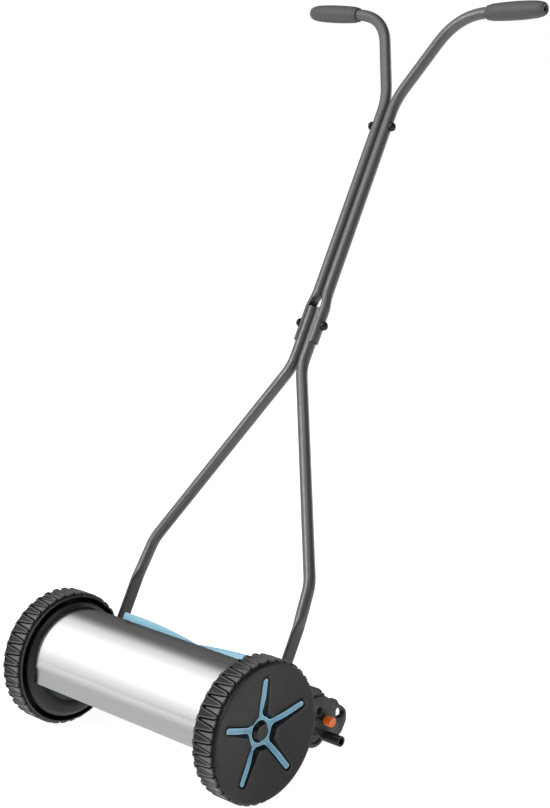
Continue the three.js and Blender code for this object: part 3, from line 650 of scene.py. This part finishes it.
def star_shape():
    """The star's face: a grid for each arm, dished along its middle, with a raised rim."""
    outline, _ = star_outline()
    reach = STAR_RING_R + STAR_FILLET
    spread = math.asin((STAR_ARM_HALF + STAR_FILLET) / reach)
    start = reach * math.cos(spread)
    tip = STAR_TIP_R - STAR_ARM_HALF
    columns = np.array([-1, -0.92, -0.8, -0.66, -0.5, -0.25, 0, 0.25, 0.5, 0.66, 0.8, 0.92, 1])
    rows = []
    for radius in np.linspace(STAR_HOLE_R, math.hypot(start, STAR_ARM_HALF), 26):
        if radius <= STAR_RING_R:
            half = math.pi / STAR_ARMS
        else:
            cosine = (radius ** 2 + reach ** 2 - STAR_FILLET ** 2) / (2 * radius * reach)
            half = spread - math.acos(min(cosine, 1.0))
        rows.append(np.stack([radius * np.cos(columns * half), radius * np.sin(columns * half)], 1))
    for u in np.linspace(start, tip, 26)[1:]:
        rows.append(np.stack([np.full(len(columns), u), columns * STAR_ARM_HALF], 1))
    for turn in np.linspace(0, math.pi / 2, 10)[1:]:
        u = tip + STAR_ARM_HALF * math.sin(turn)
        rows.append(np.stack([np.full(len(columns), u), columns * STAR_ARM_HALF * math.cos(turn)], 1))
    arm = np.concatenate(rows)
    arm_faces = grid_faces(len(rows), len(columns))
    flat = []
    faces = []
    for i in range(STAR_ARMS):
        turn = math.radians(STAR_FIRST + i * 360 / STAR_ARMS)
        spin = np.array([[math.cos(turn), math.sin(turn)], [-math.sin(turn), math.cos(turn)]])
        faces.extend(tuple(k + i * len(arm) for k in face) for face in arm_faces)
        flat.append(arm @ spin)
    flat = np.concatenate(flat)
    radius = np.linalg.norm(flat, axis=1)
    to_edge = np.sqrt(((flat[:, None, :] - outline[None, :, :]) ** 2).sum(2)).min(1)
    to_edge = np.minimum(to_edge, radius - STAR_HOLE_R)
    lift = np.interp(to_edge, [0, 0.4, 1.1, 1.8, 4.5], [-0.45, 0, 0, -0.4, -0.5])
    # rim is the painted highlight's share, strongest at the star's edge.
    rim = np.interp(to_edge, [0, 1.2, 2.0], [1.0, 0.9, 0.0])
    x = along_profile(STAR_FACE, radius) + lift
    return (np.concatenate([x[:, None], flat], 1) + (0, 0, AXLE_Z), faces), rim


def add_wheels():
    shape, tread_painted_light = tyre_shape(1)
    add_piece("tyre_right", shape, "tyre_plastic", "wheel_right", "wheel_tyre_right",
              crease=60, paint=tread_painted_light)
    shape, tread_painted_light = tyre_shape(-1)
    add_piece("tyre_left", mirrored(shape), "tyre_plastic", "wheel_left", "wheel_tyre_left",
              crease=60, paint=tread_painted_light)
    shape, recess = disc_shape()
    add_pair("disc", shape, "charcoal_plastic", "wheel_{}", "wheel_disc_{}", look=DISC_LOOK, paint=recess)
    shape, rim = star_shape()
    add_pair("star_inlay", shape, "blue_plastic", "wheel_{}", "wheel_star_inlay_{}",
             paint=rim, thicken=-STAR_DEPTH + 0.6)
    cap = [(0, 242), (10.8, 242), (14.6, 238), (14.6, 234), (16.4, 234), (16.6, 238.2), (16.2, 238.9),
           (12.8, 243.2), (12.3, 243.8), (11.6, 244), (10.6, 243.8), (0, 243.7)]
    add_pair("hub_cap", revolved(cap, 0, AXLE_Z, 64), "black_plastic", "wheel_{}", "wheel_hub_cap_{}",
             look=LOOKS["bolt_black"], crease=50)


# ---- cutting reel --------------------------------------------------------------------------------
def blade_shape(index):
    """A twisted bar: its section is a rounded strip with a ground cutting edge."""
    half = BLADE_THICK / 2
    section = [(REEL_R - BLADE_DEPTH, -half + 0.4), (REEL_R - BLADE_DEPTH + 0.4, -half),
               (REEL_R - 0.5, -half), (REEL_R - 0.05, -half + 0.4), (REEL_R - 0.05, half - 0.4),
               (REEL_R - 0.5, half), (REEL_R - BLADE_DEPTH + 0.4, half),
               (REEL_R - BLADE_DEPTH, half - 0.4)]
    loops = []
    for x in np.linspace(-REEL_HALF, REEL_HALF, 70):
        turn = math.radians(BLADE_PEAK_ANGLE + BLADE_TWIST * (x - BLADE_PEAK_X) + index * 360 / BLADES)
        along = (math.cos(turn), math.sin(turn))
        ring = [(x, REEL_Y + along[0] * r - along[1] * t, AXLE_Z + along[1] * r + along[0] * t)
                for r, t in section]
        loops.append(np.array(ring))
    points, faces = closed_loops(loops)
    last = len(points)
    faces += [tuple(range(8)), tuple(range(last - 1, last - 9, -1))]
    return points, faces


def add_reel():
    for i in range(BLADES):
        name = f"reel_blade_{i + 1}"
        add_piece(f"{name}_twisted", blade_shape(i), "blade_paint", "reel", name, crease=50)
    for i in range(4):
        soften(f"reel_spider_{i + 1}", "blade_paint", bevel=0.5)


# ---- cover and frame -----------------------------------------------------------------------------
def cover_shape():
    """The curved sheet: an arc over the reel, a crease at the front and a straight lip."""
    def edge(radius, offset):
        low = 180 - math.degrees(math.asin((COVER_CREASE_Z - COVER_CENTRE_Z) / radius))
        path = arc((0, COVER_CENTRE_Z), radius, COVER_BACK_ANGLE, low, 72)
        lip = np.linspace(path[-1], (COVER_LIP[0] + offset, COVER_LIP[1]), 8)[1:]
        return path + [tuple(point) for point in lip]

    outside = edge(COVER_R, 0)
    inside = edge(COVER_R - COVER_SHEET, COVER_SHEET)
    section = outside + inside[::-1]
    loops = []
    for x in (-COVER_HALF, -COVER_HALF + 12, -60, 60, COVER_HALF - 12, COVER_HALF):
        loops.append(np.array([(x, y, z) for y, z in section]))
    points, faces = closed_loops(loops)
    count = len(section)
    for first in (0, len(points) - count):
        for i in range(len(outside) - 1):
            faces.append((first + i, first + i + 1, first + count - 2 - i, first + count - 1 - i))
    return points, faces


def side_plate_shape():
    """The round side plate, with pressed rings on its inner face and a raised rim outside."""
    inner_face = [(9.3, 195.3), (38, 195.3), (39, 196.1), (43, 196.1), (44, 195.3), (66, 195.3),
                  (67, 196.2), (70, 196.2), (71, 195.3), (90.4, 195.3)]
    rim = [(91.6, 195.9), (97.6, 201.6), (98.2, 202.6), (98.2, 207.2), (97.8, 207.8), (95.8, 207.8),
           (95.2, 207.2), (95.2, 203.4), (89.5, 198.3), (9.3, 198.3)]
    return revolved(inner_face + rim, 0, AXLE_Z, 128)


def add_frame():
    add_piece("cover_sheet", cover_shape(), "cover_metal", "frame", "front_cover", crease=40)
    add_pair("side_disc", side_plate_shape(), "charcoal_plastic", "frame", "side_plate_{}", crease=50)
    for side in ("right", "left"):
        soften(f"side_housing_{side}", "charcoal_plastic", bevel=0.9)
        soften(f"handle_pivot_bolt_{side}", "bare_steel", bevel=0.4)
        soften(f"height_arm_pivot_{side}", "bare_steel", bevel=0.4)


# ---- rear roller and arms ------------------------------------------------------------------------
def add_rear_gear():
    for side in ("right", "left"):
        soften(f"height_arm_{side}", "charcoal_plastic", bevel=0.8)
    button = [(0, 179.9), (3.0, 179.9), (3.4, 180.3), (3.4, 194.7), (7.6, 194.7), (8.0, 195.1),
              (8.3, 206.6), (8.1, 207.5), (7.5, 208.2), (6.7, 208.4), (5.9, 208.0), (0, 207.7)]
    add_pair("release_button", revolved(button, *BUTTON, 56), "orange_plastic", "release_{}",
             "release_button_{}", crease=40)
    wall = ROLLER_Z - 4
    roller = revolved([(wall, -163.9), (ROLLER_Z - 0.8, -163.9), (ROLLER_Z, -163.1), (ROLLER_Z, 163.1),
                       (ROLLER_Z - 0.8, 163.9), (wall, 163.9)], ROLLER_Y, ROLLER_Z, 96)
    add_piece("roller_tube", roller, "black_plastic", "roller", "rear_roller", crease=40)
    cap = revolved([(5.4, 154.2), (wall - 0.4, 154.2), (wall - 0.4, 164.3), (ROLLER_Z - 1, 164.3),
                    (ROLLER_Z - 1.4, 165.6), (ROLLER_Z - 2.2, 166.0), (wall - 3, 166.0), (wall - 4, 163.5),
                    (12, 163.5), (11, 166.0), (5.4, 166.0)], ROLLER_Y, ROLLER_Z, 80)
    add_pair("roller_cap", cap, "black_plastic", "roller", "roller_end_cap_{}", crease=40)


# ---- handle --------------------------------------------------------------------------------------
def handle_points(local):
    """Points (x, off the plane, s up the handle) in mower coordinates."""
    local = np.asarray(local, float)
    y = HANDLE_FOOT[0] + local[:, 2] * math.sin(HANDLE_TILT) + local[:, 1] * math.cos(HANDLE_TILT)
    z = HANDLE_FOOT[1] + local[:, 2] * math.cos(HANDLE_TILT) - local[:, 1] * math.sin(HANDLE_TILT)
    return np.stack([local[:, 0], y, z], 1)


def bent_line(corners):
    """Straight runs joined by curves that start `reach` from a corner: corners are (x, s, reach)."""
    stations = []
    for i, (x, s, reach) in enumerate(corners):
        here = Vector((x, s))
        if not reach:
            stations.append(here)
            continue
        start = here + (Vector(corners[i - 1][:2]) - here).normalized() * reach
        end = here + (Vector(corners[i + 1][:2]) - here).normalized() * reach
        for k in range(17):
            t = k / 16
            stations.append(start * (1 - t) ** 2 + here * 2 * t * (1 - t) + end * t ** 2)
    return stations


def divided(stations, longest):
    """The same line with extra stations, so that no step is longer than `longest`."""
    out = [stations[0]]
    for a, b in zip(stations, stations[1:]):
        steps = max(1, math.ceil((b - a).length / longest))
        out.extend(a + (b - a) * (k / steps) for k in range(1, steps + 1))
    return out


def flattened(press, wall, turns):
    """Section of a tube pressed flat: points across and out of the handle's plane, and shade."""
    square = 1 - 0.45 * press
    across = np.sign(np.cos(turns)) * np.abs(np.cos(turns)) ** square
    out = np.sign(np.sin(turns)) * np.abs(np.sin(turns)) ** square
    thin = TUBE_R + (FLAT_THIN - TUBE_R) * press - wall
    wide = TUBE_R + (FLAT_WIDE - TUBE_R) * press - wall
    return thin * across, wide * out, np.full(len(turns), 0.6 * press)


def cupped(press, wall, turns):
    """Section of a tube whose inner half is pushed into a cup for its neighbour."""
    across = (TUBE_R - wall) * np.cos(turns)
    out = (TUBE_R - wall) * np.sin(turns)
    hollow = np.minimum(np.sqrt(CUP_R ** 2 - out ** 2) - LAP_SHIFT + wall, -across - 0.3)
    cup = np.where(across < 0, press, 0.0)
    return across + (hollow - across) * cup, out, cup


def tube_shape(stations, press, section, sides=40):
    """A hollow tube in the handle's plane, and its shade; press(s) says how far it is pressed."""
    turns = np.linspace(0, 2 * math.pi, sides, endpoint=False)
    outside = []
    inside = []
    shades = []
    for i, here in enumerate(stations):
        before = stations[max(i - 1, 0)]
        after = stations[min(i + 1, len(stations) - 1)]
        along = (after - before).normalized()
        side = Vector((along.y, -along.x))
        for loops, wall in ((inside, TUBE_WALL), (outside, 0.0)):
            across, out, shade = section(press(here.y), wall, turns)
            local = (here.x + side.x * across, out, here.y + side.y * across)
            loops.append(handle_points(np.stack(local, 1)))
        shades.append(shade)
    dark = [np.ones(sides)] * len(inside)
    return closed_loops(outside + inside[::-1], wrap=True), np.concatenate(shades + dark)


def turned_on_handle(profile, s, segments=40):
    """A turned part on an X line through the handle's plane at s; profile points are (radius, x)."""
    y, z = HANDLE_FOOT[0] + s * math.sin(HANDLE_TILT), HANDLE_FOOT[1] + s * math.cos(HANDLE_TILT)
    return revolved(profile, y, z, segments)


def grip_shape():
    """A barrel-shaped hand grip with a short neck and a flat end with a hole."""
    profile = [(10.4, 0), (12.5, 0), (12.9, 0.5), (13.1, 3.0), (13.3, 6.0), (14.2, 7.2), (14.55, 9.0),
               (14.9, 16), (15.35, 25), (15.7, 36), (15.9, 47), (15.98, 58), (15.85, 68), (15.5, 80),
               (14.95, 90), (14.4, 98), (13.3, 104.5), (12.2, 109), (11.1, 112), (10.2, 113.4),
               (9.2, 114.2), (5.8, 114.2), (5.3, 113.7), (5.2, 108.6), (10.4, 108.6)]
    rise = math.atan2(TUBE_END[1] - BEND[1], TUBE_END[0] - BEND[0])
    foot = BEND[1] + (GRIP_IN - BEND[0]) * math.tan(rise)
    turns = np.linspace(0, 2 * math.pi, 56, endpoint=False)
    loops = []
    for radius, x in profile:
        u = radius * np.cos(turns)
        local = (GRIP_IN + x * math.cos(rise) - u * math.sin(rise), radius * np.sin(turns),
                 foot + x * math.sin(rise) + u * math.cos(rise))
        loops.append(handle_points(np.stack(local, 1)))
    return closed_loops(loops, wrap=True)


def add_bolt(name, s, seat):
    """A domed bolt head on the left of the tubes and a domed cap nut on the right."""
    dome = [(8, 1.4), (7.6, 3.6), (6.5, 5.6), (4.8, 7.1), (2.5, 7.85), (0, 8)]
    head = [(radius, -seat - height) for radius, height in reversed(dome)]
    head += [(8, -seat - 0.3), (7.7, -seat), (2.8, -seat), (2.8, seat + 1.4), (0, seat + 1.4)]
    add_piece(f"{name}_bolt_domed", turned_on_handle(head, s), "bolt_black", "handle", f"{name}_bolt",
              crease=50)
    start = seat + 0.3
    nut = [(0, start + 2.2), (3.1, start + 2.2), (3.1, start), (7.7, start), (8, start + 0.3)]
    nut += [(radius, start + height) for radius, height in dome]
    add_piece(f"{name}_nut_domed", turned_on_handle(nut, s), "bolt_black", "handle", f"{name}_nut",
              crease=50)


def add_handle():
    lower = bent_line([(BAR_X, PIVOT_S - 13, 0), (BAR_X, 20, 0), (BAR_X, 34, 0), (BAR_X - 1.5, 50, 0),
                       (183, 107, 14), (MIDDLE_X, 454, 18), (MIDDLE_X, 562, 0)])
    upper = bent_line([(LAP_X, 500, 0), (LAP_X, 562, 0), (LAP_X - 1, 568, 0), (MIDDLE_X + 1.2, 580, 0),
                       (MIDDLE_X, 590, 0), (MIDDLE_X, 955, 26), (*BEND, 60), (*TUBE_END, 0)])
    shape, shade = tube_shape(divided(lower, 4.0), lambda s: eased(s, 56, 24), flattened)
    add_pair("lower_tube", shape, "tube_paint", "handle", "handle_lower_tube_{}", crease=50, paint=shade)
    shape, shade = tube_shape(divided(upper, 4.0), lambda s: eased(s, 588, 562), cupped)
    add_pair("upper_tube", shape, "tube_paint", "handle", "handle_upper_tube_{}", crease=50, paint=shade)
    add_pair("grip", grip_shape(), "grip_rubber", "handle", "handle_grip_{}", crease=50)
    add_bolt("lap", JOINT_S, LAP_X + TUBE_R + 0.3)
    add_bolt("clamp", CLAMP_S, MIDDLE_X + TUBE_R + 0.3)


# ---- CAD pieces that keep their shape ------------------------------------------------------------
def dress_nodes():
    """Gives every CAD node that still shows a finish that suits its material slot."""
    slots = {}
    for entry in frame["record"]["materials"]:
        for name in entry.get("nodes", []):
            slots[name] = entry["slot"]
    for name, node in frame["nodes"].items():
        if node.hide_render:
            continue
        node.data.materials.clear()
        node.data.materials.append(LOOKS[slots.get(name, "black_plastic")])


# ---- stage ---------------------------------------------------------------------------------------
def add_camera():
    turn = math.radians(CAMERA_TURN)
    rise = math.radians(CAMERA_RISE)
    roll = math.radians(CAMERA_ROLL)
    back = Vector((math.sin(turn) * math.cos(rise), -math.cos(turn) * math.cos(rise), math.sin(rise)))
    level = Vector((math.cos(turn), math.sin(turn), 0))
    upright = back.cross(level)
    right = level * math.cos(roll) + upright * math.sin(roll)
    up = upright * math.cos(roll) - level * math.sin(roll)
    camera = bpy.data.objects.new("camera", bpy.data.cameras.new("camera"))
    camera.data.lens = CAMERA_LENS
    camera.data.clip_end = 200
    axes = Matrix((right, up, back)).transposed().to_4x4()
    aim = Vector(place([CAMERA_AIM])[0])
    camera.matrix_world = Matrix.Translation(aim + back * CAMERA_DISTANCE * MM) @ axes
    bpy.context.scene.collection.objects.link(camera)
    bpy.context.scene.camera = camera


def add_floor():
    """A wide pale floor that glows a little, as a lit white sweep does."""
    bm = bmesh.new()
    turns = np.linspace(0, 2 * math.pi, 64, False)
    near, far = ([bm.verts.new((r * math.cos(a), r * math.sin(a), 0)) for a in turns] for r in (2.0, 60.0))
    bm.faces.new(near)
    for i in range(64):
        bm.faces.new((near[i - 1], far[i - 1], far[i], near[i]))
    mesh = bpy.data.meshes.new("floor")
    bm.to_mesh(mesh)
    bm.free()
    material = new_look("floor_white", (0.4, 0.4, 0.4), 0.9)
    cloudy = noise(material, 3.0)
    drive(material, "Base Color", mixed(material, cloudy, (0.39, 0.39, 0.39), (0.41, 0.41, 0.41)))
    shader = material.node_tree.nodes["Principled BSDF"]
    shader.inputs["Emission Color"].default_value = (1, 1, 1, 1)
    shader.inputs["Emission Strength"].default_value = 0.93
    mesh.materials.append(material)
    floor = bpy.data.objects.new("floor", mesh)
    bpy.context.scene.collection.objects.link(floor)


def add_world():
    """A dim studio with one broad bright panel high on the left, and a plain white backdrop."""
    world = bpy.data.worlds.new("studio")
    world.use_nodes = True
    nodes = world.node_tree.nodes
    links = world.node_tree.links
    direction = nodes.new("ShaderNodeTexCoord")
    facing = nodes.new("ShaderNodeVectorMath")
    facing.operation = "DOT_PRODUCT"
    facing.inputs[1].default_value = PANEL_DIRECTION
    links.new(direction.outputs["Generated"], facing.inputs[0])
    panel = world_ramp(world, facing.outputs["Value"],
                       [(0.0, 0.09), (0.45, 0.06), (0.60, 0.09), (0.65, 0.12), (0.73, 0.27), (0.80, 0.50),
                        (0.88, 0.62), (0.95, 0.80), (1.0, 1.0)])
    parts = nodes.new("ShaderNodeSeparateXYZ")
    links.new(direction.outputs["Generated"], parts.inputs["Vector"])
    horizon = world_ramp(world, parts.outputs["Z"], [(0.0, 0.67), (0.045, 0.67), (0.085, 0.0)])
    aside = nodes.new("ShaderNodeVectorMath")
    aside.operation = "DOT_PRODUCT"
    aside.inputs[1].default_value = (-0.707, -0.707, 0.0)
    links.new(direction.outputs["Generated"], aside.inputs[0])
    kept = world_ramp(world, aside.outputs["Value"], [(0.0, 1.0), (0.70, 1.0), (0.88, 0.0)])
    band = nodes.new("ShaderNodeMix")
    band.data_type = "RGBA"
    band.blend_type = "MULTIPLY"
    band.inputs[0].default_value = 1.0
    links.new(horizon, band.inputs[6])
    links.new(kept, band.inputs[7])
    lighter = nodes.new("ShaderNodeMix")
    lighter.data_type = "RGBA"
    lighter.blend_type = "LIGHTEN"
    lighter.inputs[0].default_value = 1.0
    links.new(panel, lighter.inputs[6])
    links.new(band.outputs[2], lighter.inputs[7])
    seen = nodes.new("ShaderNodeMix")
    seen.data_type = "RGBA"
    seen.inputs[7].default_value = (0.667, 0.667, 0.667, 1)
    links.new(nodes.new("ShaderNodeLightPath").outputs["Is Camera Ray"], seen.inputs[0])
    links.new(lighter.outputs[2], seen.inputs[6])
    links.new(seen.outputs[2], nodes["Background"].inputs["Color"])
    nodes["Background"].inputs["Strength"].default_value = 1.5
    bpy.context.scene.world = world


def world_ramp(world, value, stops):
    ramp = world.node_tree.nodes.new("ShaderNodeValToRGB")
    world.node_tree.links.new(value, ramp.inputs["Fac"])
    while len(ramp.color_ramp.elements) < len(stops):
        ramp.color_ramp.elements.new(1.0)
    for element, (position, level) in zip(ramp.color_ramp.elements, stops):
        element.position = position
        element.color = (level, level, level, 1)
    return ramp.outputs["Color"]


def add_softbox(name, position, aim, size, power):
    """A rectangular area light; position and aim are millimetres in mower coordinates."""
    light = bpy.data.lights.new(name, "AREA")
    light.shape = "RECTANGLE"
    light.size, light.size_y = size
    light.energy = power
    lamp = bpy.data.objects.new(name, light)
    here = Vector(place([position])[0])
    there = Vector(place([aim])[0])
    lamp.location = here
    lamp.rotation_euler = (there - here).to_track_quat("-Z", "Y").to_euler()
    bpy.context.scene.collection.objects.link(lamp)


def add_card(name, corners, near, far):
    """A studio card that only shows in reflections: corners in millimetres, glow from near to far."""
    mesh = bpy.data.meshes.new(name)
    mesh.from_pydata(place(corners).tolist(), [], [(0, 1, 2, 3)])
    mesh.uv_layers.new(name="across")
    mesh.uv_layers["across"].data.foreach_set("uv", (0, 0, 1, 0, 1, 1, 0, 1))
    material = new_look(name, (0, 0, 0), 1.0)
    across = material.node_tree.nodes.new("ShaderNodeUVMap")
    parts = material.node_tree.nodes.new("ShaderNodeSeparateXYZ")
    material.node_tree.links.new(across.outputs["UV"], parts.inputs["Vector"])
    material.node_tree.nodes["Principled BSDF"].inputs["Emission Color"].default_value = (1, 1, 1, 1)
    drive(material, "Emission Strength", remapped(material, parts.outputs["Y"], 0.0, 1.0, near, far))
    mesh.materials.append(material)
    card = bpy.data.objects.new(name, mesh)
    bpy.context.scene.collection.objects.link(card)
    card.visible_camera = False
    card.visible_diffuse = False
    card.visible_shadow = False


def heading(azimuth, distance, height):
    """A point that far from the axle's middle in a compass direction, azimuth from +X towards +Y."""
    turn = math.radians(azimuth)
    return (distance * math.cos(turn), distance * math.sin(turn), height)


def add_cards():
    add_card("back_card", [heading(116, 1500, 2), heading(152, 1500, 2), heading(152, 1500, 850),
                           heading(116, 1500, 850)], 0.05, 0.11)
    middle = [(-700, -2000, 3), (-2500, -1500, 3)]
    add_card("near_card", [(500, -250, 3), (-800, -150, 3), *reversed(middle)], 0.43, 0.76)
    add_card("far_card", [*middle, (-26000, -16000, 3), (-8000, -26000, 3)], 0.76, 0.80)


def add_stage():
    add_camera()
    add_floor()
    add_world()
    add_cards()
    add_softbox("front_softbox", (-1390, -2870, 2750), (0, 100, 500), (1.0, 1.5), 80)
    add_softbox("top_softbox", (400, -600, 3600), (0, 200, 300), (2.5, 2.5), 40)
    add_softbox("rear_softbox", (200, 3300, 1000), (0, 200, 500), (0.9, 2.0), 20)
    bpy.context.scene.view_settings.view_transform = "Standard"


add_wheels()
add_reel()
add_frame()
add_rear_gear()
add_handle()
dress_nodes()
add_stage()
